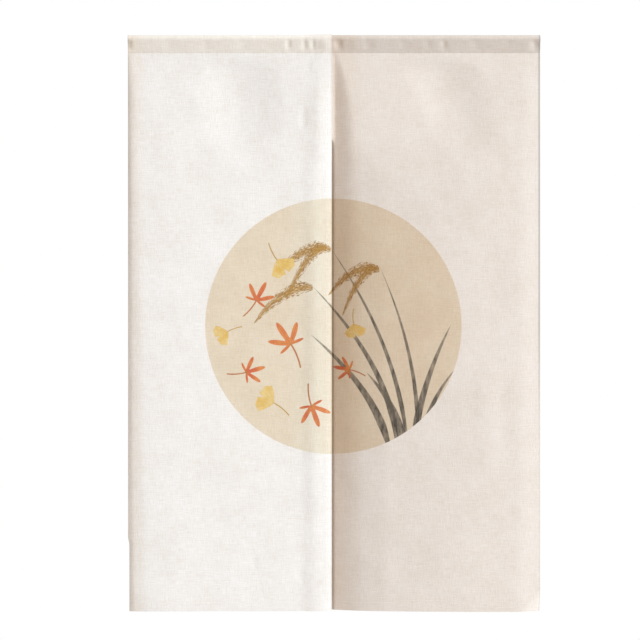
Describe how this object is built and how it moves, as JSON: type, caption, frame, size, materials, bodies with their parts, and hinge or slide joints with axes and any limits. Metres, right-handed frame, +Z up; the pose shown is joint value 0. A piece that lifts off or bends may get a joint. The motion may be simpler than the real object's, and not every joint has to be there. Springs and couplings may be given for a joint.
{
  "type": "noren curtain",
  "caption": "Doorway noren of off-white linen-look cloth: two panels joined at the top with a slit below, each with a rod sleeve and hems, and a round printed ground across the slit",
  "frame": {"origin": "the middle of the rod sleeve's axis, on the line where the two panels meet", "axes": "+X to the right seen from the front, +Y away from the viewer, +Z up"},
  "size_m": [0.8574, 0.0471, 1.199],
  "materials": {
    "cloth": "matt plain-woven cotton and linen"
  },
  "bodies": {
    "root": {"panel_left": "cloth", "panel_right": "cloth", "sleeve_left": "cloth", "sleeve_right": "cloth"}
  },
  "joints": []
}
